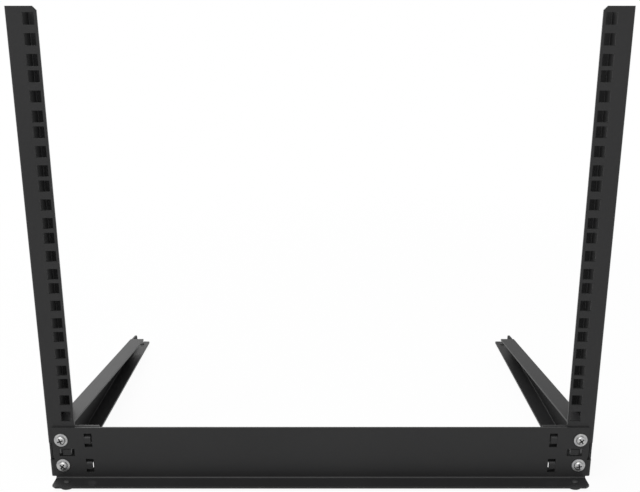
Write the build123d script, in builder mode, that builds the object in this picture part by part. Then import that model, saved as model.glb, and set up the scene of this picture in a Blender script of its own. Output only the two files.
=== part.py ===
from build123d import *
import math
import os

# Two post open frame rack for a desk or floor, in millimetres.
# X runs across the rack, Y from front to back and Z up.
# The origin is the centre of the footprint, on the floor.

# Rack pattern of square holes
rack_units = 8
unit_height = 44.45
column_spacing = 465.1
square_hole = 9.5
holes_in_unit = (6.35, 22.225, 38.1)

# Posts
post_edge = 18.6
post_sheet = 2.0
post_flange = 25.5
post_depth = 60.0
post_lip = 8.5
post_bend = 0.5
post_top_margin = 3.1
post_top_chamfer = 3.2
post_rear_drop = 2.8
post_end_gap = 0.8
lip_clearance = 1.4
window_height = 17.0
window_on_flange = 4.4
window_in_web = 3.0

# Crossbar
bar_sheet = 2.0
bar_end_gap = 5.15
bar_bottom_margin = 15.0
bar_bend = 1.5
bar_toe = 20.2
bar_toe_chamfer = 3.5
first_unit_gap = 4.0

# Feet
foot_sheet = 2.0
foot_reach = 403.8
foot_flange = 18.0
foot_bend = 0.5
foot_top_gap = 0.6
foot_rear_height = 14.5
foot_flange_cutback = 38.8
foot_corner = 5.0
foot_flange_chamfer = 1.2
foot_tail_drop = 3.1
foot_relief = 1.5
ear_margin = 6.1
ear_lip = 4.0
ear_lip_relief = 2.0

# Hooks on the ears and their slots in the crossbar
hook_offset = 18.35
hook_below_screw = 0.5
hook_width = 5.6
hook_bend = 0.8
hook_proud = 0.3
hook_slot_height = 13.6
hook_outer_clearance = 0.2
hook_inner_clearance = 1.3
hook_top_clearance = 2.9
hook_tip_clearance = 3.6
hook_window_drop = 4.6

# Locating studs pressed out of the posts and their slots in the crossbar
stud_offset = 1.45
stud_width = 7.4
stud_height = 5.8
stud_depth = 1.7
stud_pocket = 1.2
stud_side_clearance = 3.35
stud_height_clearance = 0.7

# Assembly screws, washers and nuts
screw_offset = 5.85
screw_drop = 12.1
screw_pitch = 25.4
screw_diameter = 5.0
screw_length = 12.0
screw_head_diameter = 9.5
screw_head_height = 3.5
screw_hole_clearance = 0.5
washer_diameter = 12.5
washer_thickness = 1.2
washer_clearance = 0.3
nut_across_flats = 8.0
nut_height = 4.0
thread_clearance = 0.2

# Rubber pads, each pressed into a hole of a flange
pad_height = 3.3
pad_diameter = 13.0
pad_stem_diameter = 4.2
pad_stem_clearance = 0.2
pad_button_diameter = 5.6
pad_button_height = 1.8
front_pad_inset = 12.0
front_pad_setback = 9.2
rear_pad_inset = 10.4
rear_pad_setback = 12.0

# Places worked out from the sizes above
column_x = column_spacing / 2
half_width = column_x + post_edge
half_bar = half_width - bar_end_gap
screw_x = column_x + screw_offset
stud_x = column_x + stud_offset
hook_x = column_x - hook_offset
bar_height = screw_drop + screw_pitch + bar_bottom_margin
foot_front_height = bar_height - foot_top_gap
face_y = bar_toe - (bar_toe + foot_reach) / 2
rear_y = face_y + foot_reach
base_z = pad_height
bar_top_z = base_z + bar_height
unit_base_z = bar_top_z + first_unit_gap
post_top_z = unit_base_z + rack_units * unit_height + post_top_margin
post_bottom_z = base_z + bar_sheet + post_end_gap
web_inner_x = half_width - post_sheet
post_back_y = face_y + post_sheet
bar_front_y = face_y - bar_sheet
ear_back_y = post_back_y + foot_sheet
foot_start_y = ear_back_y + foot_relief
foot_slope = (foot_front_height - foot_rear_height) / foot_reach
foot_angle = math.degrees(math.atan(foot_slope))
hole_heights = [unit_base_z + unit * unit_height + rise for unit in range(rack_units) for rise in holes_in_unit]
screw_heights = [bar_top_z - screw_drop, bar_top_z - screw_drop - screw_pitch]
hook_heights = [height - hook_below_screw for height in screw_heights]
stud_z = bar_top_z - screw_drop - screw_pitch / 2
hook_slot_width = hook_width + hook_inner_clearance + hook_outer_clearance
hook_slot_x = hook_x + (hook_outer_clearance - hook_inner_clearance) / 2
stud_slot_width = stud_width + 2 * stud_side_clearance
stud_slot_height = stud_height + 2 * stud_height_clearance
screw_hole = screw_diameter + screw_hole_clearance
pad_hole = pad_stem_diameter + pad_stem_clearance
front_pad_x = half_bar - front_pad_inset
rear_pad_x = web_inner_x - rear_pad_inset


def foot_top(y):
    """Height of the foot's sloping top at a place along its length."""
    return base_z + foot_front_height - foot_slope * (y - face_y)


def finish(piece, name):
    """Name a finished piece and write it to its file."""
    piece.part.label = name
    export_step(piece.part, f"parts/{name}.step")


def mirrored(piece, name):
    """Make the left-hand twin of a right-hand piece."""
    with BuildPart() as twin:
        mirror(piece.part, about=Plane.YZ)
    finish(twin, name)


os.makedirs("parts", exist_ok=True)

# Right post: a channel with a wide punched front flange and a narrow rear lip
with BuildPart() as right_post:
    web_mid_x = half_width - post_sheet / 2
    flange_mid_y = face_y + post_sheet / 2
    lip_mid_y = face_y + post_depth - post_sheet / 2
    with BuildSketch(Plane.XY.offset(post_bottom_z)):
        with BuildLine():
            FilletPolyline(
                (half_width - post_flange, flange_mid_y),
                (web_mid_x, flange_mid_y),
                (web_mid_x, lip_mid_y),
                (half_width - post_lip, lip_mid_y),
                radius=post_bend + post_sheet / 2,
            )
        trace(line_width=post_sheet)
    extrude(amount=post_top_z - post_bottom_z)
    top_edges = right_post.edges().filter_by(Axis.Y).group_by(Axis.Z)[-1]
    chamfer(top_edges.sort_by(Axis.X)[0], post_top_chamfer)

    # Web and rear lip end a little below the top of the front flange
    with BuildSketch(Plane.XY.offset(post_top_z - post_rear_drop)):
        with Locations((half_width - post_lip, face_y + post_bend + post_sheet)):
            Rectangle(post_lip, post_depth, align=(Align.MIN, Align.MIN))
    extrude(amount=post_rear_drop, mode=Mode.SUBTRACT)

    # Square holes of the rack pattern
    with BuildSketch(Plane.XZ.offset(-post_back_y)):
        with Locations(*[(column_x, height) for height in hole_heights]):
            Rectangle(square_hole, square_hole)
    extrude(amount=post_sheet, mode=Mode.SUBTRACT)

    # Clearance holes for the assembly screws
    with BuildSketch(Plane.XZ.offset(-post_back_y)):
        with Locations(*[(screw_x, height) for height in screw_heights]):
            Circle(screw_hole / 2)
    extrude(amount=post_sheet, mode=Mode.SUBTRACT)

    # Window punched across the front bend
    with BuildSketch(Plane.XZ.offset(-face_y - window_in_web)):
        with Locations((half_width - window_on_flange, stud_z)):
            Rectangle(window_on_flange, window_height, align=(Align.MIN, Align.CENTER))
    extrude(amount=window_in_web, mode=Mode.SUBTRACT)

    # Rear lip stops above the foot that runs back through the channel
    lip_bottom_z = foot_top(face_y + post_depth) + lip_clearance
    lip_bend_y = face_y + post_depth - post_bend - post_sheet
    with BuildSketch(Plane.XY.offset(post_bottom_z)):
        with Locations((half_width - post_lip, lip_bend_y)):
            Rectangle(post_lip, post_bend + post_sheet, align=(Align.MIN, Align.MIN))
    extrude(amount=lip_bottom_z - post_bottom_z, mode=Mode.SUBTRACT)

    # Locating stud, half sheared out of the flange from behind
    with BuildSketch(Plane.XZ.offset(-face_y)):
        with Locations((stud_x, stud_z)):
            Rectangle(stud_width, stud_height)
    extrude(amount=stud_depth)
    with BuildSketch(Plane.XZ.offset(-post_back_y)):
        with Locations((stud_x, stud_z)):
            Rectangle(stud_width, stud_height)
    extrude(amount=stud_pocket, mode=Mode.SUBTRACT)

    # Relief cuts beside the stud
    relief_x = (stud_width + stud_side_clearance) / 2
    with BuildSketch(Plane.XZ.offset(-post_back_y)):
        with Locations((stud_x - relief_x, stud_z), (stud_x + relief_x, stud_z)):
            Rectangle(stud_side_clearance, stud_slot_height)
    extrude(amount=post_sheet, mode=Mode.SUBTRACT)
finish(right_post, "right_post")
mirrored(right_post, "left_post")

# Crossbar: an angle whose lower leg runs forward as a toe
with BuildPart() as crossbar:
    with BuildSketch(Plane.YZ.offset(-half_bar)):
        with BuildLine():
            FilletPolyline(
                (face_y - bar_sheet / 2, bar_top_z),
                (face_y - bar_sheet / 2, base_z + bar_sheet / 2),
                (face_y - bar_toe, base_z + bar_sheet / 2),
                radius=bar_bend + bar_sheet / 2,
            )
        trace(line_width=bar_sheet)
    extrude(amount=2 * half_bar)
    toe_corners = crossbar.edges().filter_by(Axis.Z).group_by(Axis.Y)[0]
    chamfer(toe_corners, bar_toe_chamfer)

    # Screw holes, hook slots and stud slots through the panel
    with BuildSketch(Plane.XZ.offset(-face_y)):
        with Locations(*[(side * screw_x, height) for side in (-1, 1) for height in screw_heights]):
            Circle(screw_hole / 2)
        with Locations(*[(side * hook_slot_x, height) for side in (-1, 1) for height in hook_heights]):
            Rectangle(hook_slot_width, hook_slot_height)
        with Locations(*[(side * stud_x, stud_z) for side in (-1, 1)]):
            Rectangle(stud_slot_width, stud_slot_height)
    extrude(amount=bar_sheet, mode=Mode.SUBTRACT)

    # Pad holes through the toe
    with BuildSketch(Plane.XY.offset(base_z)):
        with Locations(*[(side * front_pad_x, face_y - bar_toe + front_pad_setback) for side in (-1, 1)]):
            Circle(pad_hole / 2)
    extrude(amount=bar_sheet, mode=Mode.SUBTRACT)
finish(crossbar, "crossbar")

# Right foot: a tapering channel, open inward, with an ear bent in behind the post's flange
with BuildPart() as right_foot:
    foot_bend_zone = foot_bend + foot_sheet
    foot_mid_x = web_inner_x - foot_sheet / 2
    flange_end_x = web_inner_x - foot_flange
    foot_length = rear_y - foot_start_y
    top_end_y = rear_y - foot_flange_cutback
    ear_top_z = foot_top(face_y)
    ear_bottom_z = base_z + foot_bend_zone
    ear_mid_y = post_back_y + foot_sheet / 2
    ear_end_x = hook_slot_x - hook_slot_width / 2 - ear_margin

    # Lower flange with its bend
    with BuildSketch(Plane.XZ.offset(-foot_start_y)):
        with BuildLine():
            FilletPolyline(
                (flange_end_x, base_z + foot_sheet / 2),
                (foot_mid_x, base_z + foot_sheet / 2),
                (foot_mid_x, base_z + 2 * foot_bend_zone),
                radius=foot_bend + foot_sheet / 2,
            )
        trace(line_width=foot_sheet)
    extrude(amount=-foot_length)
    lower_corner = right_foot.edges().filter_by(Axis.Z).group_by(Axis.X)[0].sort_by(Axis.Y)[-1]
    chamfer(lower_corner, foot_flange_chamfer)

    # Upper flange with its bend, along the slope
    slope_start = Plane(
        origin=(0, foot_start_y, foot_top(foot_start_y)),
        x_dir=(1, 0, 0),
        z_dir=(0, -math.cos(math.radians(foot_angle)), math.sin(math.radians(foot_angle))),
    )
    with BuildSketch(slope_start):
        with BuildLine():
            FilletPolyline(
                (flange_end_x, -foot_sheet / 2),
                (foot_mid_x, -foot_sheet / 2),
                (foot_mid_x, -1.5 * foot_bend_zone),
                radius=foot_bend + foot_sheet / 2,
            )
        trace(line_width=foot_sheet)
    extrude(amount=-(top_end_y - foot_start_y) / math.cos(math.radians(foot_angle)))

    # Tapering web between the bends, a little lower behind the upper flange and rounded at its rear corner
    with BuildSketch(Plane.YZ.offset(web_inner_x - foot_sheet)) as web_side:
        with BuildLine():
            Polyline(
                (foot_start_y, base_z + foot_bend_zone),
                (rear_y, base_z + foot_bend_zone),
                (rear_y, foot_top(rear_y) - foot_tail_drop),
                (top_end_y, foot_top(top_end_y) - foot_tail_drop),
                (top_end_y, foot_top(top_end_y) - foot_bend_zone),
                (foot_start_y, foot_top(foot_start_y) - foot_bend_zone),
                close=True,
            )
        make_face()
        fillet(web_side.vertices().group_by(Axis.X)[-1].sort_by(Axis.Y)[-1], foot_corner)
    extrude(amount=foot_sheet)

    # Ear behind the post's flange
    with BuildSketch(Plane.XY.offset(ear_bottom_z)):
        with BuildLine():
            FilletPolyline(
                (ear_end_x, ear_mid_y),
                (foot_mid_x, ear_mid_y),
                (foot_mid_x, foot_start_y + foot_bend_zone),
                radius=foot_bend + foot_sheet / 2,
            )
        trace(line_width=foot_sheet)
    extrude(amount=ear_top_z - foot_bend_zone - ear_bottom_z)

    # Short lip along the ear's top, bent rearward
    with BuildSketch(Plane.YZ.offset(ear_end_x)):
        with BuildLine():
            FilletPolyline(
                (ear_mid_y, ear_top_z - 1.5 * foot_bend_zone),
                (ear_mid_y, ear_top_z - foot_sheet / 2),
                (post_back_y + ear_lip, ear_top_z - foot_sheet / 2),
                radius=foot_bend + foot_sheet / 2,
            )
        trace(line_width=foot_sheet)
    extrude(amount=flange_end_x - ear_lip_relief - ear_end_x)

    # Windows left by the hooks, a window behind the stud's slot, and clearance holes for the screws
    hook_rise = hook_slot_height / 2 - hook_top_clearance - foot_sheet / 2
    hook_window_height = hook_window_drop + hook_rise + foot_sheet / 2
    with BuildSketch(Plane.XZ.offset(-ear_back_y)):
        with Locations(*[(hook_x, height - hook_window_drop) for height in hook_heights]):
            Rectangle(hook_width, hook_window_height, align=(Align.CENTER, Align.MIN))
        with Locations((stud_x, stud_z)):
            Rectangle(stud_slot_width, stud_slot_height)
        with Locations(*[(screw_x, height) for height in screw_heights]):
            Circle(screw_hole / 2)
    extrude(amount=foot_sheet, mode=Mode.SUBTRACT)

    # Hooks bent forward through the crossbar's slots and then down
    hook_mid_y = bar_front_y - hook_proud + foot_sheet / 2
    hook_tip_drop = hook_slot_height / 2 - hook_tip_clearance
    for height in hook_heights:
        with BuildSketch(Plane.YZ.offset(hook_x - hook_width / 2)):
            with BuildLine():
                Line((ear_mid_y, height + hook_slot_height / 2), (ear_mid_y, height + hook_rise))
                FilletPolyline(
                    (ear_mid_y, height + hook_rise),
                    (hook_mid_y, height + hook_rise),
                    (hook_mid_y, height - hook_tip_drop),
                    radius=hook_bend + foot_sheet / 2,
                )
            trace(line_width=foot_sheet)
        extrude(amount=hook_width)

    # Pad hole near the rear end
    with BuildSketch(Plane.XY.offset(base_z)):
        with Locations((rear_pad_x, rear_y - rear_pad_setback)):
            Circle(pad_hole / 2)
    extrude(amount=foot_sheet, mode=Mode.SUBTRACT)
finish(right_foot, "right_foot")
mirrored(right_foot, "left_foot")

# Screws, washers and nuts at the four places where crossbar, post and foot meet
screw_places = [
    (f"{side_name}_{level_name}", side * screw_x, height)
    for side_name, side in (("left", -1), ("right", 1))
    for level_name, height in zip(("upper", "lower"), screw_heights)
]
for place, x, z in screw_places:
    panel_front = Plane(origin=(x, bar_front_y, z), x_dir=(1, 0, 0), z_dir=(0, -1, 0))
    with BuildPart() as washer:
        with BuildSketch(panel_front):
            Circle(washer_diameter / 2)
            Circle(screw_diameter / 2 + washer_clearance / 2, mode=Mode.SUBTRACT)
        extrude(amount=washer_thickness)
    finish(washer, f"{place}_washer")

    head_base_y = bar_front_y - washer_thickness
    head_plane = Plane(origin=(x, head_base_y, z), x_dir=(1, 0, 0), z_dir=(0, 0, -1))
    with BuildPart() as screw:
        with BuildSketch(head_plane):
            with BuildLine():
                Polyline(
                    (0, screw_head_height),
                    (screw_head_diameter / 2, screw_head_height),
                    (screw_head_diameter / 2, 0),
                    (screw_diameter / 2, 0),
                    (screw_diameter / 2, -screw_length),
                    (0, -screw_length),
                    close=True,
                )
            make_face()
        revolve(axis=Axis((x, head_base_y, z), (0, 1, 0)))
    finish(screw, f"{place}_screw")

    ear_back = Plane(origin=(x, ear_back_y, z), x_dir=(1, 0, 0), z_dir=(0, 1, 0))
    with BuildPart() as nut:
        with BuildSketch(ear_back):
            RegularPolygon(nut_across_flats / 2, 6, major_radius=False)
            Circle(screw_diameter / 2 + thread_clearance / 2, mode=Mode.SUBTRACT)
        extrude(amount=nut_height)
    finish(nut, f"{place}_nut")

# Rubber pads under the crossbar's toe and under the rear ends of the feet
front_pad_y = face_y - bar_toe + front_pad_setback
rear_pad_y = rear_y - rear_pad_setback
pad_places = [
    ("front_left", -front_pad_x, front_pad_y, bar_sheet),
    ("front_right", front_pad_x, front_pad_y, bar_sheet),
    ("rear_left", -rear_pad_x, rear_pad_y, foot_sheet),
    ("rear_right", rear_pad_x, rear_pad_y, foot_sheet),
]
for place, x, y, flange_sheet in pad_places:
    stem_top_z = pad_height + flange_sheet
    with BuildPart() as pad:
        with BuildSketch(Plane(origin=(x, y, 0), x_dir=(1, 0, 0), z_dir=(0, -1, 0))):
            with BuildLine():
                Polyline(
                    (0, 0),
                    (pad_diameter / 2, 0),
                    (pad_diameter / 2, pad_height),
                    (pad_stem_diameter / 2, pad_height),
                    (pad_stem_diameter / 2, stem_top_z),
                    (pad_button_diameter / 2, stem_top_z),
                    (pad_button_diameter / 2, stem_top_z + pad_button_height),
                    (0, stem_top_z + pad_button_height),
                    close=True,
                )
            make_face()
        revolve(axis=Axis((x, y, 0), (0, 0, 1)))
    finish(pad, f"{place}_pad")
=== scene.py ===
import logging
import math
from dataclasses import dataclass
from enum import Enum
from typing import Iterable, Sequence, Union

import bpy
from mathutils import Euler, Matrix, Vector


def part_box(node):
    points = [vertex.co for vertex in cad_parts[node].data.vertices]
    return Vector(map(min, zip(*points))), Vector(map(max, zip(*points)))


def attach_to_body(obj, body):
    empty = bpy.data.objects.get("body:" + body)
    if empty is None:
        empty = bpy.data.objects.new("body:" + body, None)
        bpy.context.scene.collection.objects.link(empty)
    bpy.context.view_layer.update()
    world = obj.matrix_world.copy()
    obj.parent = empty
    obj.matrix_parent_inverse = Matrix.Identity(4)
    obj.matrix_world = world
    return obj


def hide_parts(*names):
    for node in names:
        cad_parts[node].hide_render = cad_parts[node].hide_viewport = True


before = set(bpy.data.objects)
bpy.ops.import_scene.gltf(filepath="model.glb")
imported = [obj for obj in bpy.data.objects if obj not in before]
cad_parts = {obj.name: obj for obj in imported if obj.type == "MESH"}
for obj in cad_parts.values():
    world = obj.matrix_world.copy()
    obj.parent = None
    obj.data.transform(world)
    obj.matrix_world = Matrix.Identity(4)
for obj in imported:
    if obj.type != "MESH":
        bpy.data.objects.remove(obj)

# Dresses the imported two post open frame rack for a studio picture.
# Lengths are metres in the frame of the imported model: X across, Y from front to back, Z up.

log = logging.getLogger("rack")
Point = tuple[float, float, float]
Span = tuple[float, float]
BODY = "root"
WHITE = (1.0, 1.0, 1.0, 1.0)
NOISE_MIDDLE = 0.5
SHARP_ANGLE = 32.0  # degrees


class Slot(str, Enum):
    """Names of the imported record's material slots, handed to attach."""

    ZINC = "zinc"
    RUBBER = "pad_rubber"


class NodeKind(str, Enum):
    """Shader node types that the graphs use."""

    MATH = "ShaderNodeMath"
    VECTOR_MATH = "ShaderNodeVectorMath"
    MIX = "ShaderNodeMix"
    NOISE = "ShaderNodeTexNoise"
    MAP_RANGE = "ShaderNodeMapRange"
    COORDINATES = "ShaderNodeTexCoord"
    SEPARATE = "ShaderNodeSeparateXYZ"
    BUMP = "ShaderNodeBump"
    PRINCIPLED = "ShaderNodeBsdfPrincipled"
    DIFFUSE = "ShaderNodeBsdfDiffuse"
    EMISSION = "ShaderNodeEmission"
    MIX_SHADER = "ShaderNodeMixShader"
    LIGHT_PATH = "ShaderNodeLightPath"
    BACKGROUND = "ShaderNodeBackground"
    MATERIAL_OUTPUT = "ShaderNodeOutputMaterial"
    WORLD_OUTPUT = "ShaderNodeOutputWorld"


Number = Union[float, "Value"]


class Value:
    """A shader socket that can be used in Python expressions."""

    def __init__(self, graph: "Graph", socket: bpy.types.NodeSocket) -> None:
        """Wrap one output socket.

        Args:
            graph: the graph that the socket belongs to.
            socket: the output socket.
        """
        self.graph = graph
        self.socket = socket

    def _math(self, operation: str, first: Number, second: Number) -> "Value":
        """Add one Math node.

        Args:
            operation: the node's operation.
            first: first input.
            second: second input.

        Returns:
            The node's result.
        """
        return self.graph.add(NodeKind.MATH, {"operation": operation}, {0: first, 1: second})

    def __add__(self, other: Number) -> "Value":
        """Sum of this value and another."""
        return self._math("ADD", self, other)

    def __radd__(self, other: Number) -> "Value":
        """Sum of a number and this value."""
        return self._math("ADD", other, self)

    def __sub__(self, other: Number) -> "Value":
        """This value less another."""
        return self._math("SUBTRACT", self, other)

    def __rsub__(self, other: Number) -> "Value":
        """A number less this value."""
        return self._math("SUBTRACT", other, self)

    def __mul__(self, other: Number) -> "Value":
        """Product of this value and another."""
        return self._math("MULTIPLY", self, other)

    def __rmul__(self, other: Number) -> "Value":
        """Product of a number and this value."""
        return self._math("MULTIPLY", other, self)

    def largest(self, other: Number) -> "Value":
        """The larger of this value and another.

        Args:
            other: what it is set against.

        Returns:
            The larger one.
        """
        return self._math("MAXIMUM", self, other)


class Graph:
    """One node tree, built from an empty start."""

    # The Mix node's sockets when it mixes colours
    mix_factor, mix_first, mix_second, mix_result = 0, 6, 7, 2

    def __init__(self, tree: bpy.types.NodeTree) -> None:
        """Clear a tree.

        Args:
            tree: the node tree of a material or world.
        """
        self.tree = tree
        self.tree.nodes.clear()

    def add(
        self,
        kind: NodeKind,
        settings: dict[str, object],
        inputs: dict[Union[int, str], object],
        output: Union[int, str] = 0,
    ) -> Value:
        """Add a node, set it up and connect it.

        Args:
            kind: the node's type.
            settings: the node's own properties, set before its inputs.
            inputs: values or sockets by the input's name or number.
            output: the output that is handed back.

        Returns:
            The chosen output, or the node's first input when it has no output.
        """
        node = self.tree.nodes.new(kind.value)
        for key, setting in settings.items():
            setattr(node, key, setting)
        for key, given in inputs.items():
            socket = node.inputs[key]
            if isinstance(given, Value):
                self.tree.links.new(given.socket, socket)
            else:
                socket.default_value = given
        return Value(self, node.outputs[output] if len(node.outputs) else node.inputs[0])

    def position(self) -> Value:
        """Place on the object, in metres."""
        return self.add(NodeKind.COORDINATES, {}, {}, "Object")

    def noise(self, scale: float, detail: float = 2.0, roughness: float = 0.5) -> Value:
        """Smooth noise from 0 to 1.

        Args:
            scale: features to the metre.
            detail: octaves.
            roughness: strength of the finer octaves.

        Returns:
            The noise, about 0.5 on average.
        """
        return self.add(
            NodeKind.NOISE,
            {"noise_dimensions": "3D"},
            {"Vector": self.position(), "Scale": scale, "Detail": detail, "Roughness": roughness},
            "Fac",
        )

    def stretched_noise(self, scales: Point, detail: float = 2.0) -> Value:
        """Noise drawn out along an axis.

        Args:
            scales: features to the metre along X, Y and Z.
            detail: octaves.

        Returns:
            The noise, about 0.5 on average.
        """
        place = self.add(NodeKind.VECTOR_MATH, {"operation": "MULTIPLY"}, {0: self.position(), 1: scales})
        return self.add(
            NodeKind.NOISE, {"noise_dimensions": "3D"}, {"Vector": place, "Scale": 1.0, "Detail": detail}, "Fac"
        )

    def ramp(self, value: Value, low: float, high: float) -> Value:
        """Smooth step from 0 to 1.

        Args:
            value: what is measured.
            low: the value that gives 0.
            high: the value that gives 1.

        Returns:
            A factor from 0 to 1.
        """
        return self.add(
            NodeKind.MAP_RANGE,
            {"interpolation_type": "SMOOTHSTEP", "clamp": True},
            {"Value": value, "From Min": low, "From Max": high},
        )

    def blend(self, factor: Value, first: Point, second: Point) -> Value:
        """Mix two colours.

        Args:
            factor: 0 gives the first and 1 the second.
            first: a colour, as red, green and blue.
            second: a colour, as red, green and blue.

        Returns:
            The mixed colour.
        """
        return self.add(
            NodeKind.MIX,
            {"data_type": "RGBA", "clamp_factor": True},
            {self.mix_factor: factor, self.mix_first: (*first, 1.0), self.mix_second: (*second, 1.0)},
            self.mix_result,
        )

    def bump(self, height: Value, depth: float) -> Value:
        """Normal of a small relief.

        Args:
            height: relief from 0 to 1.
            depth: its full depth in metres.

        Returns:
            The bent normal.
        """
        return self.add(NodeKind.BUMP, {}, {"Strength": 1.0, "Distance": depth, "Height": height})

    def seen(self) -> Value:
        """1 for camera, glossy and transmission rays, else 0."""
        camera, glossy, through = (
            self.add(NodeKind.LIGHT_PATH, {}, {}, name)
            for name in ("Is Camera Ray", "Is Glossy Ray", "Is Transmission Ray")
        )
        return camera.largest(glossy).largest(through)


@dataclass(frozen=True)
class PowderCoat:
    """Near-black powder coat, half gloss, with a fine even texture."""

    dark: Point = (0.0165, 0.0165, 0.0169)
    pale: Point = (0.0195, 0.0195, 0.0199)
    roughness: float = 0.46
    roughness_spread: float = 0.06
    grain_per_metre: float = 1900.0
    grain_detail: float = 3.0
    grain_roughness: float = 0.6
    peel_per_metre: float = 520.0
    peel_detail: float = 1.0
    cloud_per_metre: float = 9.0
    cloud_detail: float = 3.0
    grain_in_tint: float = 0.6
    cloud_in_tint: float = 0.4
    tint_range: Span = (0.38, 0.62)
    grain_in_relief: float = 0.45
    peel_in_relief: float = 0.55
    relief: float = 0.00002
    gloss: float = 0.25

    def build(self, name: str) -> bpy.types.Material:
        """Make the material.

        Args:
            name: its name.

        Returns:
            The new material.
        """
        material = bpy.data.materials.new(name)
        material.use_nodes = True
        graph = Graph(material.node_tree)
        grain = graph.noise(self.grain_per_metre, self.grain_detail, self.grain_roughness)
        peel = graph.noise(self.peel_per_metre, self.peel_detail)
        cloud = graph.noise(self.cloud_per_metre, self.cloud_detail)
        tint = graph.ramp(grain * self.grain_in_tint + cloud * self.cloud_in_tint, *self.tint_range)
        cloudy, grainy = ((noise - NOISE_MIDDLE) * self.roughness_spread for noise in (cloud, grain))
        height = grain * self.grain_in_relief + peel * self.peel_in_relief
        shader = graph.add(
            NodeKind.PRINCIPLED,
            {},
            {
                "Base Color": graph.blend(tint, self.dark, self.pale),
                "Roughness": self.roughness + cloudy + grainy,
                "Specular IOR Level": self.gloss,
                "Normal": graph.bump(height, self.relief),
            },
        )
        graph.add(NodeKind.MATERIAL_OUTPUT, {}, {"Surface": shader})
        return material


@dataclass(frozen=True)
class ZincPlate:
    """Bright zinc plate with the fine marks of forming."""

    bright: Point = (0.48, 0.48, 0.47)
    dull: Point = (0.34, 0.34, 0.35)
    roughness: float = 0.40
    marks_in_roughness: float = 0.14
    clouds_in_roughness: float = 0.1
    marks_per_metre: Point = (2600.0, 500.0, 900.0)
    marks_detail: float = 3.0
    clouds_per_metre: float = 260.0
    clouds_detail: float = 4.0
    clouds_in_tint: float = 0.7
    marks_in_tint: float = 0.3
    tint_range: Span = (0.36, 0.64)
    relief: float = 0.00001

    def build(self, name: str) -> bpy.types.Material:
        """Make the material.

        Args:
            name: its name.

        Returns:
            The new material.
        """
        material = bpy.data.materials.new(name)
        material.use_nodes = True
        graph = Graph(material.node_tree)
        marks = graph.stretched_noise(self.marks_per_metre, self.marks_detail)
        clouds = graph.noise(self.clouds_per_metre, self.clouds_detail)
        tint = graph.ramp(clouds * self.clouds_in_tint + marks * self.marks_in_tint, *self.tint_range)
        roughness = (
            self.roughness
            + (marks - NOISE_MIDDLE) * self.marks_in_roughness
            + (clouds - NOISE_MIDDLE) * self.clouds_in_roughness
        )
        shader = graph.add(
            NodeKind.PRINCIPLED,
            {},
            {
                "Base Color": graph.blend(tint, self.dull, self.bright),
                "Metallic": 1.0,
                "Roughness": roughness,
                "Normal": graph.bump(marks, self.relief),
            },
        )
        graph.add(NodeKind.MATERIAL_OUTPUT, {}, {"Surface": shader})
        return material


# Darker, rougher and less glossy coat for hole walls and channel insides, where light hardly reaches: painted shade
PAINTED_SHADE_COAT = PowderCoat(dark=(0.0075, 0.0075, 0.0077), pale=(0.0095, 0.0095, 0.0097), roughness=0.6, gloss=0.10)
# Darker, rougher zinc for the screw recesses: painted shade
PAINTED_SHADE_ZINC = ZincPlate(bright=(0.10, 0.10, 0.10), dull=(0.05, 0.05, 0.05), roughness=0.6)


@dataclass(frozen=True)
class PadRubber:
    """Matt black moulded rubber, a little paler where it has rubbed."""

    dark: Point = (0.014, 0.014, 0.014)
    pale: Point = (0.034, 0.034, 0.035)
    roughness: float = 0.62
    grain_in_roughness: float = 0.2
    grain_per_metre: float = 2200.0
    grain_detail: float = 2.0
    rubs_per_metre: float = 180.0
    rubs_detail: float = 3.0
    rubs_range: Span = (0.45, 0.75)
    relief: float = 0.00003

    def build(self, name: str) -> bpy.types.Material:
        """Make the material.

        Args:
            name: its name.

        Returns:
            The new material.
        """
        material = bpy.data.materials.new(name)
        material.use_nodes = True
        graph = Graph(material.node_tree)
        grain = graph.noise(self.grain_per_metre, self.grain_detail)
        rubbed = graph.ramp(graph.noise(self.rubs_per_metre, self.rubs_detail), *self.rubs_range)
        shader = graph.add(
            NodeKind.PRINCIPLED,
            {},
            {
                "Base Color": graph.blend(rubbed, self.dark, self.pale),
                "Roughness": self.roughness + (grain - NOISE_MIDDLE) * self.grain_in_roughness,
                "Normal": graph.bump(grain, self.relief),
            },
        )
        graph.add(NodeKind.MATERIAL_OUTPUT, {}, {"Surface": shader})
        return material


@dataclass(frozen=True)
class WhiteGround:
    """White paper that the camera sees at full white, with the object's soft shadow kept."""

    colour: Point = (0.9, 0.9, 0.9)
    glow_near: float = 0.94
    clear_range: Span = (0.45, 1.6)

    def build(self, name: str) -> bpy.types.Material:
        """Make the material.

        Args:
            name: its name.

        Returns:
            The new material.
        """
        material = bpy.data.materials.new(name)
        material.use_nodes = True
        graph = Graph(material.node_tree)
        away = graph.add(NodeKind.VECTOR_MATH, {"operation": "LENGTH"}, {0: graph.position()}, "Value")
        glow = self.glow_near + (1.0 - self.glow_near) * graph.ramp(away, *self.clear_range)
        paper = graph.add(NodeKind.DIFFUSE, {}, {"Color": (*self.colour, 1.0)})
        white = graph.add(NodeKind.EMISSION, {}, {"Color": WHITE, "Strength": 1.0})
        shader = graph.add(NodeKind.MIX_SHADER, {}, {0: graph.seen() * glow, 1: paper, 2: white})
        graph.add(NodeKind.MATERIAL_OUTPUT, {}, {"Surface": shader})
        return material


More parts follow.
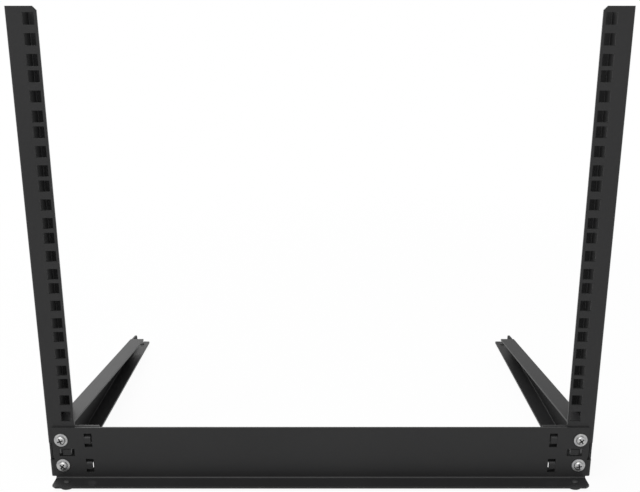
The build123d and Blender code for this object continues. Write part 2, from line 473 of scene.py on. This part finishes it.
class MeshMaker:
    """Collects vertices and faces and turns them into an object."""

    def __init__(self) -> None:
        """Start empty."""
        self.points: list[Point] = []
        self.faces: list[tuple[int, ...]] = []

    def ring(self, points: Iterable[Point]) -> list[int]:
        """Add points.

        Args:
            points: places of the new vertices.

        Returns:
            Their numbers.
        """
        start = len(self.points)
        self.points.extend(points)
        return list(range(start, len(self.points)))

    def bridge(self, first: Sequence[int], second: Sequence[int]) -> None:
        """Join two rings of the same count with a band of quads.

        Args:
            first: vertex numbers of one ring.
            second: vertex numbers of the next ring.
        """
        count = len(first)
        for i in range(count):
            j = (i + 1) % count
            self.faces.append((first[i], first[j], second[j], second[i]))

    def cap(self, ring: Sequence[int], turned: bool = False) -> None:
        """Close a ring with one face.

        Args:
            ring: vertex numbers.
            turned: whether the face looks the other way.
        """
        self.faces.append(tuple(reversed(ring)) if turned else tuple(ring))

    def circle(self, radius: float, height: float, steps: int) -> list[int]:
        """Add a ring of one radius about the local Z axis.

        Args:
            radius: its radius.
            height: its height.
            steps: how many vertices it has.

        Returns:
            Their numbers.
        """
        turns = (2 * math.pi * i / steps for i in range(steps))
        return self.ring((radius * math.cos(turn), radius * math.sin(turn), height) for turn in turns)

    def stack(self, rings: Sequence[Sequence[int]], closed: bool = False) -> None:
        """Join rings into a skin.

        Args:
            rings: vertex numbers of each ring, from top to bottom.
            closed: whether the last ring joins the first, as in a washer; if not, both ends get a face.
        """
        for upper, lower in zip(rings, rings[1:]):
            self.bridge(lower, upper)
        if closed:
            self.bridge(rings[0], rings[-1])
        else:
            self.cap(rings[0])
            self.cap(rings[-1], turned=True)

    def lathe(self, profile: Sequence[Span], steps: int, closed: bool = False) -> None:
        """Turn a profile about the local Z axis.

        Args:
            profile: radius and height of each ring, from top to bottom.
            steps: divisions round the axis.
            closed: whether the last ring joins the first, as in a washer.
        """
        self.stack([self.circle(radius, height, steps) for radius, height in profile], closed)

    def build(self, name: str, angle: float = SHARP_ANGLE) -> bpy.types.Object:
        """Make the object, shaded smooth below an angle.

        Args:
            name: the object's name.
            angle: edges sharper than this, in degrees, stay sharp.

        Returns:
            The object, linked into the scene.
        """
        mesh = bpy.data.meshes.new(name)
        mesh.from_pydata(self.points, [], self.faces)
        mesh.validate()
        finish_mesh(mesh, angle)
        made = bpy.data.objects.new(name, mesh)
        bpy.context.scene.collection.objects.link(made)
        return made


def finish_mesh(mesh: bpy.types.Mesh, angle: float = SHARP_ANGLE) -> None:
    """Shade a mesh smooth and keep its sharp edges.

    Args:
        mesh: the mesh.
        angle: edges sharper than this, in degrees, stay sharp.
    """
    for face in mesh.polygons:
        face.use_smooth = True
    mesh.set_sharp_from_angle(angle=math.radians(angle))
    mesh.update()


def subtract(target: bpy.types.Object, tool: bpy.types.Object) -> None:
    """Cut one object out of another, whose faces keep their material there, and delete the tool.

    Args:
        target: what is cut.
        tool: the shape that is taken away.
    """
    cut = target.modifiers.new("cut", "BOOLEAN")
    cut.operation = "DIFFERENCE"
    cut.solver = "EXACT"
    cut.material_mode = "TRANSFER"
    cut.object = tool
    graph = bpy.context.evaluated_depsgraph_get()
    mesh = bpy.data.meshes.new_from_object(target.evaluated_get(graph))
    target.modifiers.clear()
    old = target.data
    target.data = mesh
    bpy.data.meshes.remove(old)
    bpy.data.objects.remove(tool)
    finish_mesh(target.data)


def place(piece: bpy.types.Object, turn: Matrix, at: Vector) -> None:
    """Move a piece's mesh to its place, so that its object stays at the origin.

    Args:
        piece: the object.
        turn: its rotation.
        at: where its local origin goes.
    """
    piece.data.transform(Matrix.Translation(at) @ turn.to_4x4())
    piece.data.update()


def attach(piece: bpy.types.Object, node: str, slot: Slot, material: bpy.types.Material) -> None:
    """Let a piece stand for a CAD node.

    Args:
        piece: the visual piece.
        node: the CAD node that it replaces.
        slot: the record's material slot; not used.
        material: its finish, if it has none yet.
    """
    if not piece.data.materials:
        piece.data.materials.append(material)
    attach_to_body(piece, BODY)
    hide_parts(node)
    log.info("%s: %d faces, stands for %s", piece.name, len(piece.data.polygons), node)


@dataclass(frozen=True)
class Hollow:
    """Where faces lie that get the darker coat of painted shade, as low and high ends in metres."""

    aside: Span
    back: Span
    above: Span

    def holds(self, point: Vector) -> bool:
        """Tell whether a point on either side of the rack lies there."""
        measured = ((abs(point.x), self.aside), (point.y, self.back), (point.z, self.above))
        return all(low < value < high for value, (low, high) in measured)


@dataclass(frozen=True)
class SheetMetal:
    """The five folded sheets, which keep their CAD shape and get the coat."""

    nodes: tuple[str, ...] = ("left_post", "right_post", "crossbar", "left_foot", "right_foot")
    post_holes: Hollow = Hollow((0.2272, 0.2379), (-0.1919, -0.1897), (0.0600, 0.4130))
    post_web: Hollow = Hollow((0.2489, 0.2493), (-0.1900, -0.1310), (0.0560, 0.4190))
    bar_slots: Hollow = Hollow((0.1000, 0.2460), (-0.1960, -0.1905), (0.0080, 0.0545))
    foot_web: Hollow = Hollow((0.247145, 0.2475), (-0.1900, 0.2125), (0.0040, 0.0560))
    wall_slope: float = 0.3

    def build(self, coat: bpy.types.Material, painted_shade_coat: bpy.types.Material) -> None:
        """Coat the sheets.

        Args:
            coat: the powder coat.
            painted_shade_coat: the darker coat, painted shade, on the walls of punched holes and inside the channels.
        """
        post, foot = (self.post_holes, self.post_web), (self.foot_web,)
        hollows = dict(zip(self.nodes, (post, post, (self.bar_slots,), foot, foot)))
        for name in self.nodes:
            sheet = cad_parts[name]
            sheet.data.materials.clear()
            sheet.data.materials.append(coat)
            # Hole walls and channel insides get the darker coat: painted shade
            count = self.paint_shade_on_walls(sheet, hollows[name], painted_shade_coat)
            log.info("%s: coated, %d faces of it in_painted_shade", name, count)

    def paint_shade_on_walls(self, sheet: bpy.types.Object, hollows: Sequence[Hollow], painted_shade_coat: bpy.types.Material) -> int:
        """Give the walls in a sheet's hollows a darker coat, which paints shade on them.

        Args:
            sheet: the sheet.
            hollows: where the walls are.
            painted_shade_coat: the darker coat of painted shade on them.

        Returns:
            How many faces got it.
        """
        sheet.data.materials.append(painted_shade_coat)
        walls = [
            face
            for face in sheet.data.polygons
            if abs(face.normal.y) < self.wall_slope
            and any(hollow.holds(sheet.matrix_world @ face.center) for hollow in hollows)
        ]
        for face in walls:
            face.material_index = len(sheet.data.materials) - 1
        return len(walls)


@dataclass(frozen=True)
class PanScrew:
    """Pan head machine screw with a cross recess and a rolled thread."""

    head_radius: float = 0.00425
    head_height: float = 0.0033
    head_angles: tuple[float, ...] = (14, 28, 42, 54, 64, 72, 79, 85)
    head_fullness: float = 0.8
    head_chamfer: float = 0.00018
    rim: float = 0.0010
    rim_drop: float = 0.9
    shank_radius: float = 0.00245
    thread_depth: float = 0.00035
    thread_pitch: float = 0.0008
    thread_rows: int = 8
    tip_length: float = 0.0007
    tip_chamfer: float = 0.0006
    recess_reach: float = 0.0029
    recess_width: float = 0.0012
    recess_depth: float = 0.0028
    recess_mouth: Span = (1.06, 1.05)
    recess_floor: Span = (0.72, 0.85)
    recess_overcut: float = 0.0006
    steps: int = 64

    def head_profile(self) -> list[Span]:
        """Radius and height down the head, from its crown to its bearing face."""
        rise = self.head_height - self.rim
        dome = [
            (self.head_radius * math.sin(angle), self.rim + rise * math.cos(angle) ** self.head_fullness)
            for angle in map(math.radians, self.head_angles)
        ]
        return dome + [
            (self.head_radius, self.rim * self.rim_drop),
            (self.head_radius, self.head_chamfer),
            (self.head_radius - self.head_chamfer, 0.0),
        ]

    def cross(self, height: float, taper: Span) -> list[Point]:
        """Outline of the recess at one height.

        Args:
            height: the height.
            taper: the wings' reach and width there, as parts of the recess's own.

        Returns:
            Twelve points, anticlockwise.
        """
        reach, half = self.recess_reach * taper[0], self.recess_width * taper[1] / 2
        arm = [(reach, -half), (reach, half), (half, half)]
        points: list[Point] = []
        for quarter in range(4):
            cosine, sine = round(math.cos(quarter * math.pi / 2)), round(math.sin(quarter * math.pi / 2))
            points.extend((cosine * x - sine * y, sine * x + cosine * y, height) for x, y in arm)
        return points

    def head(self, name: str, zinc: bpy.types.Material, shade: bpy.types.Material) -> bpy.types.Object:
        """Make the head with its recess.

        Args:
            name: the object's name.
            zinc: the head's finish.
            shade: the darker finish inside the recess, painted shade.

        Returns:
            The head, with its axis on local Z and its bearing face at zero.
        """
        maker = MeshMaker()
        maker.lathe(self.head_profile(), self.steps)
        head = maker.build(name)
        head.data.materials.append(zinc)
        tool = MeshMaker()
        mouth = tool.ring(self.cross(self.head_height + self.recess_overcut, self.recess_mouth))
        floor = tool.ring(self.cross(self.head_height - self.recess_depth, self.recess_floor))
        tool.stack([mouth, floor])
        recess = tool.build("recess")
        # The recess walls take the darker zinc: painted shade
        recess.data.materials.append(shade)
        subtract(head, recess)
        return head

    def thread(self, length: float) -> MeshMaker:
        """Shank with a helical thread and a chamfered tip.

        Args:
            length: from the bearing face to the tip.

        Returns:
            The mesh, running down from local zero.
        """
        maker = MeshMaker()
        rows = int(length / self.thread_pitch * self.thread_rows)
        rings = []
        for row in range(rows + 1):
            height = -length * row / rows
            tip = min(1.0, (length + height) / self.tip_length)
            ring = []
            for i in range(self.steps):
                part = i / self.steps
                crest = abs(((height / self.thread_pitch + part) % 1.0) * 2 - 1)
                radius = self.shank_radius - self.thread_depth * (1 - crest) - self.tip_chamfer * (1 - tip)
                turn = 2 * math.pi * part
                ring.append((radius * math.cos(turn), radius * math.sin(turn), height))
            rings.append(maker.ring(ring))
        maker.stack(rings)
        return maker


@dataclass(frozen=True)
class FlatWasher:
    """Stamped flat washer with one rolled edge, whose corners are given in parts of the edge's size."""

    edge: float = 0.00022
    bore_corner: float = 0.5
    rolled_corners: tuple[Span, ...] = ((1.6, 0.0), (0.5, 0.45), (0.0, 1.4))
    lower_corners: tuple[Span, ...] = ((0.0, 0.6), (0.5, 0.0))
    steps: int = 72

    def profile(self, radius: float, bore: float, thickness: float) -> list[Span]:
        """Radius and height round the section, from the bore's upper corner outward.

        Args:
            radius: the outer radius.
            bore: the radius of the hole.
            thickness: the thickness.

        Returns:
            The section's corners.
        """
        broken = self.edge * self.bore_corner
        rolled = [(radius - self.edge * inward, thickness - self.edge * down) for inward, down in self.rolled_corners]
        lower = [(radius - self.edge * inward, self.edge * up) for inward, up in self.lower_corners]
        return [(bore + broken, thickness), *rolled, *lower, (bore, 0.0), (bore, thickness - broken)]

    def build(self, name: str, radius: float, bore: float, thickness: float) -> bpy.types.Object:
        """Make the washer.

        Args:
            name: the object's name.
            radius: its outer radius.
            bore: the radius of its hole.
            thickness: its thickness.

        Returns:
            The washer, lying on local zero.
        """
        maker = MeshMaker()
        maker.lathe(self.profile(radius, bore, thickness), self.steps, closed=True)
        return maker.build(name)


@dataclass(frozen=True)
class HexNut:
    """Hexagon nut with turned corners."""

    steps: int = 96
    corner_angle: float = 30.0
    face_radius: float = 0.96
    bore_chamfer: float = 0.0004
    sharp_angle: float = 20.0

    def build(self, name: str, flats: float, bore: float, height: float) -> bpy.types.Object:
        """Make the nut.

        Args:
            name: the object's name.
            flats: width across its flats.
            bore: the radius of its thread.
            height: its height.

        Returns:
            The nut, standing on local zero.
        """
        face = flats / 2 * self.face_radius
        mouth = bore + self.bore_chamfer
        maker = MeshMaker()
        rings = [
            maker.circle(bore, height - self.bore_chamfer, self.steps),
            maker.circle(mouth, height, self.steps),
            maker.circle(face, height, self.steps),
            maker.ring(self.hexagon(flats / 2, face, height)),
            maker.ring(self.hexagon(flats / 2, face, 0.0)),
            maker.circle(face, 0.0, self.steps),
            maker.circle(mouth, 0.0, self.steps),
            maker.circle(bore, self.bore_chamfer, self.steps),
        ]
        maker.stack(rings, closed=True)
        return maker.build(name, self.sharp_angle)

    def hexagon(self, inradius: float, face: float, end: float) -> list[Point]:
        """Outline of the hexagon beside one end face, whose corners are turned down.

        Args:
            inradius: from the axis to a flat.
            face: radius of the end face.
            end: height of the end face, zero for the lower one.

        Returns:
            The outline's points.
        """
        slope = math.tan(math.radians(self.corner_angle))
        points: list[Point] = []
        for turn in (2 * math.pi * i / self.steps for i in range(self.steps)):
            radius = inradius / math.cos((turn % (math.pi / 3)) - math.pi / 6)
            drop = (radius - face) * slope
            points.append((radius * math.cos(turn), radius * math.sin(turn), end - drop if end else drop))
        return points


@dataclass(frozen=True)
class Fasteners:
    """The four screws with their washers and nuts, all with their axes to the front."""

    places: tuple[str, ...] = ("left_upper", "left_lower", "right_upper", "right_lower")
    recess_turns: tuple[float, ...] = (20.0, 52.0, 38.0, 8.0)
    nut_turn: float = 30.0
    bore_gap: float = 0.00015
    screw_maker: PanScrew = PanScrew()
    washer_maker: FlatWasher = FlatWasher()
    nut_maker: HexNut = HexNut()

    def build(self, zinc: bpy.types.Material, shade: bpy.types.Material) -> None:
        """Make all fasteners.

        Args:
            zinc: their finish.
            shade: the darker finish inside the recesses, painted shade.
        """
        for name, turn in zip(self.places, self.recess_turns):
            self.screw(name, turn, zinc, shade)
            self.washer(name, zinc)
            self.nut(name, zinc)

    def forward(self, turn: float = 0.0) -> Matrix:
        """Rotation from local Z to the front.

        Args:
            turn: how far the piece is turned about its own axis first, in degrees.

        Returns:
            The rotation.
        """
        return Euler((math.radians(90), 0, 0)).to_matrix() @ Matrix.Rotation(math.radians(turn), 3, "Z")

    def screw(self, name: str, turn: float, zinc: bpy.types.Material, shade: bpy.types.Material) -> None:
        """Make one screw, its head against the washer.

        Args:
            name: the place's name.
            turn: how far the recess is turned, in degrees.
            zinc: its finish.
            shade: the darker finish inside the recess, painted shade.
        """
        low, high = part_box(f"{name}_screw")
        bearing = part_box(f"{name}_washer")[0].y
        centre = (low + high) / 2
        head = self.screw_maker.head(f"{name}_pan_screw", zinc, shade)
        shank = self.screw_maker.thread(high.y - bearing).build(f"{name}_thread")
        joined = bpy.data.meshes.new(head.name)
        self.join(joined, (head.data, shank.data))
        head.data = joined
        bpy.data.objects.remove(shank)
        place(head, self.forward(turn), Vector((centre.x, bearing, centre.z)))
        attach(head, f"{name}_screw", Slot.ZINC, zinc)

    def washer(self, name: str, zinc: bpy.types.Material) -> None:
        """Make one washer.

        Args:
            name: the place's name.
            zinc: its finish.
        """
        low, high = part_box(f"{name}_washer")
        centre = (low + high) / 2
        bore = self.screw_maker.shank_radius + self.bore_gap
        washer = self.washer_maker.build(f"{name}_flat_washer", (high.x - low.x) / 2, bore, high.y - low.y)
        place(washer, self.forward(), Vector((centre.x, high.y, centre.z)))
        attach(washer, f"{name}_washer", Slot.ZINC, zinc)

    def nut(self, name: str, zinc: bpy.types.Material) -> None:
        """Make one nut.

        Args:
            name: the place's name.
            zinc: its finish.
        """
        low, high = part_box(f"{name}_nut")
        centre = (low + high) / 2
        bore = self.screw_maker.shank_radius
        nut = self.nut_maker.build(f"{name}_hex_nut", high.z - low.z, bore, high.y - low.y)
        place(nut, self.forward(self.nut_turn), Vector((centre.x, high.y, centre.z)))
        attach(nut, f"{name}_nut", Slot.ZINC, zinc)

    @staticmethod
    def join(target: bpy.types.Mesh, parts: Sequence[bpy.types.Mesh]) -> None:
        """Put several meshes into one, with the first one's materials.

        Args:
            target: the mesh that takes them.
            parts: the meshes.
        """
        points: list[Point] = []
        faces: list[tuple[int, ...]] = []
        finishes: list[int] = []
        for part in parts:
            start = len(points)
            points.extend(tuple(v.co) for v in part.vertices)
            faces.extend(tuple(start + i for i in face.vertices) for face in part.polygons)
            finishes.extend(face.material_index for face in part.polygons)
        target.from_pydata(points, [], faces)
        for material in parts[0].materials:
            target.materials.append(material)
        target.polygons.foreach_set("material_index", finishes)
        finish_mesh(target)


@dataclass(frozen=True)
class RubberPad:
    """Moulded pad with a rounded rim and a domed button above the flange."""

    rim: float = 0.0007
    rim_bevel: float = 0.3
    wall_draft: float = 0.93
    wall_step: float = 0.0001
    shoulder: float = 0.0003
    stem: float = 0.74
    dome_angles: tuple[float, ...] = (10, 25, 40, 55, 68, 80, 90)
    dome_skirt: float = 0.25
    dimple_edge: float = 0.55
    dimple_floor: float = 0.5
    dimple_depth: float = 0.0004
    steps: int = 64

    def build(
        self, name: str, radius: float, under: float, flange: float, button: float, top: float
    ) -> bpy.types.Object:
        """Make one pad.

        Args:
            name: the object's name.
            radius: the pad's radius.
            under: the flange's underside above the floor.
            flange: the flange's thickness.
            button: the button's radius.
            top: the button's top above the floor.

        Returns:
            The pad, standing on local zero.
        """
        base = under + flange
        rise = top - base
        skirt = self.dome_skirt
        dome = [
            (button * math.sin(angle), base + rise * (skirt + (1.0 - skirt) * math.cos(angle)))
            for angle in map(math.radians, self.dome_angles)
        ]
        stem = button * self.stem
        foot = radius * self.wall_draft
        bevel = self.rim * self.rim_bevel
        body = [
            (button, base),
            (stem, base),
            (stem, under),
            (radius - self.shoulder, under),
            (radius, under - self.shoulder),
            (foot + self.wall_step, self.rim),
            (foot - bevel, bevel),
            (foot - self.rim, 0.0),
            (foot * self.dimple_edge, 0.0),
            (foot * self.dimple_floor, self.dimple_depth),
        ]
        maker = MeshMaker()
        maker.lathe(dome + body, self.steps)
        return maker.build(name)


@dataclass(frozen=True)
class Pads:
    """The four rubber pads."""

    places: tuple[str, ...] = ("front_left", "front_right", "rear_left", "rear_right")
    flange: float = 0.002
    button_radius: float = 0.0028

    def build(self, rubber: bpy.types.Material) -> None:
        """Make the pads.

        Args:
            rubber: their finish.
        """
        maker = RubberPad()
        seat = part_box("crossbar")[0].z
        for name in self.places:
            low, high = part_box(f"{name}_pad")
            centre = (low + high) / 2
            radius = (high.x - low.x) / 2
            pad = maker.build(f"{name}_rubber_pad", radius, seat, self.flange, self.button_radius, high.z)
            place(pad, Matrix.Identity(3), Vector((centre.x, centre.y, 0.0)))
            attach(pad, f"{name}_pad", Slot.RUBBER, rubber)


@dataclass(frozen=True)
class Softbox:
    """One square area lamp."""

    name: str
    at: Point
    size: float
    power: float


@dataclass(frozen=True)
class Studio:
    """White floor, white surroundings and soft lamps."""

    floor_size: float = 60.0
    ambient: float = 0.42
    side_shade: float = 0.45
    shade_across: Span = (-0.25, 0.25)
    shade_behind: Span = (-0.2, 0.4)
    aim: Point = (0.0, 0.0, 0.15)
    lamps: tuple[Softbox, ...] = (
        Softbox("key", (-1.2, 1.8, 1.9), 1.6, 26.0),
        Softbox("front", (-0.4, -1.5, 2.3), 2.4, 53.0),
    )

    def build(self) -> None:
        """Make the floor, the world and the lamps."""
        self.floor()
        self.world()
        for box in self.lamps:
            self.lamp(box)
        log.info("studio: floor, world and %d lamps", len(self.lamps))

    def floor(self) -> None:
        """Make the white floor."""
        half = self.floor_size / 2
        maker = MeshMaker()
        maker.cap(maker.ring([(-half, -half, 0.0), (half, -half, 0.0), (half, half, 0.0), (-half, half, 0.0)]))
        floor = maker.build("floor")
        floor.data.materials.append(WhiteGround().build("white_ground"))

    def world(self) -> None:
        """Make the white surroundings."""
        world = bpy.data.worlds.new("white_world")
        world.use_nodes = True
        graph = Graph(world.node_tree)
        sky = graph.add(NodeKind.BACKGROUND, {}, {"Color": WHITE, "Strength": self.sky(graph)})
        graph.add(NodeKind.WORLD_OUTPUT, {}, {"Surface": sky})
        bpy.context.scene.world = world

    def lamp(self, box: Softbox) -> None:
        """Make one lamp, turned to the middle of the rack.

        Args:
            box: its name, place, size and power.
        """
        data = bpy.data.lights.new(box.name, "AREA")
        data.shape = "SQUARE"
        data.size = box.size
        data.energy = box.power
        lamp = bpy.data.objects.new(box.name, data)
        lamp.location = box.at
        lamp.rotation_mode = "QUATERNION"
        lamp.rotation_quaternion = (Vector(self.aim) - Vector(box.at)).to_track_quat("-Z", "Y")
        bpy.context.scene.collection.objects.link(lamp)

    def sky(self, graph: Graph) -> Value:
        """Strength of the surroundings, which are dimmer behind the rack on its right.

        Args:
            graph: the world's graph.

        Returns:
            The strength, 1 for the camera.
        """
        across, depth = (
            graph.add(NodeKind.SEPARATE, {}, {0: graph.add(NodeKind.COORDINATES, {}, {}, "Generated")}, axis)
            for axis in ("X", "Y")
        )
        shade = graph.ramp(across, *self.shade_across) * graph.ramp(depth, *self.shade_behind) * self.side_shade
        camera = graph.add(NodeKind.LIGHT_PATH, {}, {}, "Is Camera Ray")
        lit = self.ambient + (1.0 - self.ambient) * graph.seen()
        return camera.largest(lit * (1.0 - shade))


@dataclass(frozen=True)
class PhotoCamera:
    """The photograph's camera, placed from the posts' front face and the lowest rack unit."""

    ahead: float = 0.7967
    aside: float = 0.0046
    above: float = 0.3406
    unit_base: float = 0.0598
    pitch: float = 18.64
    lens: float = 53.13
    sensor: float = 36.0
    shift: Span = (-0.0090, 0.16)
    clip: Span = (0.02, 200.0)

    def build(self) -> None:
        """Make the camera and set it as the scene's own."""
        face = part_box("crossbar")[1].y
        data = bpy.data.cameras.new("camera")
        data.lens = self.lens
        data.sensor_width = self.sensor
        data.sensor_fit = "HORIZONTAL"
        data.shift_x, data.shift_y = self.shift
        data.clip_start, data.clip_end = self.clip
        data.dof.use_dof = False
        camera = bpy.data.objects.new("camera", data)
        camera.location = (self.aside, face - self.ahead, self.unit_base + self.above)
        camera.rotation_euler = (math.radians(90 - self.pitch), 0.0, 0.0)
        bpy.context.scene.collection.objects.link(camera)
        bpy.context.scene.camera = camera
        log.info("camera: %.3f m ahead of the posts", self.ahead)


def main() -> None:
    """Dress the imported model."""
    logging.basicConfig(level=logging.INFO, format="%(name)s: %(message)s")
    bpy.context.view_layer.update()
    PhotoCamera().build()
    Studio().build()
    # The sheets' hole walls and channel insides get a darker coat: painted shade
    SheetMetal().build(PowderCoat().build("powder_coat"), PAINTED_SHADE_COAT.build("powder_coat_painted_shade"))
    # The screw recesses get darker zinc: painted shade
    Fasteners().build(ZincPlate().build("zinc_plate"), PAINTED_SHADE_ZINC.build("zinc_painted_shade_in_recess"))
    Pads().build(PadRubber().build("rubber"))
    bpy.context.scene.view_settings.view_transform = "Standard"


if __name__ == "__main__":
    main()
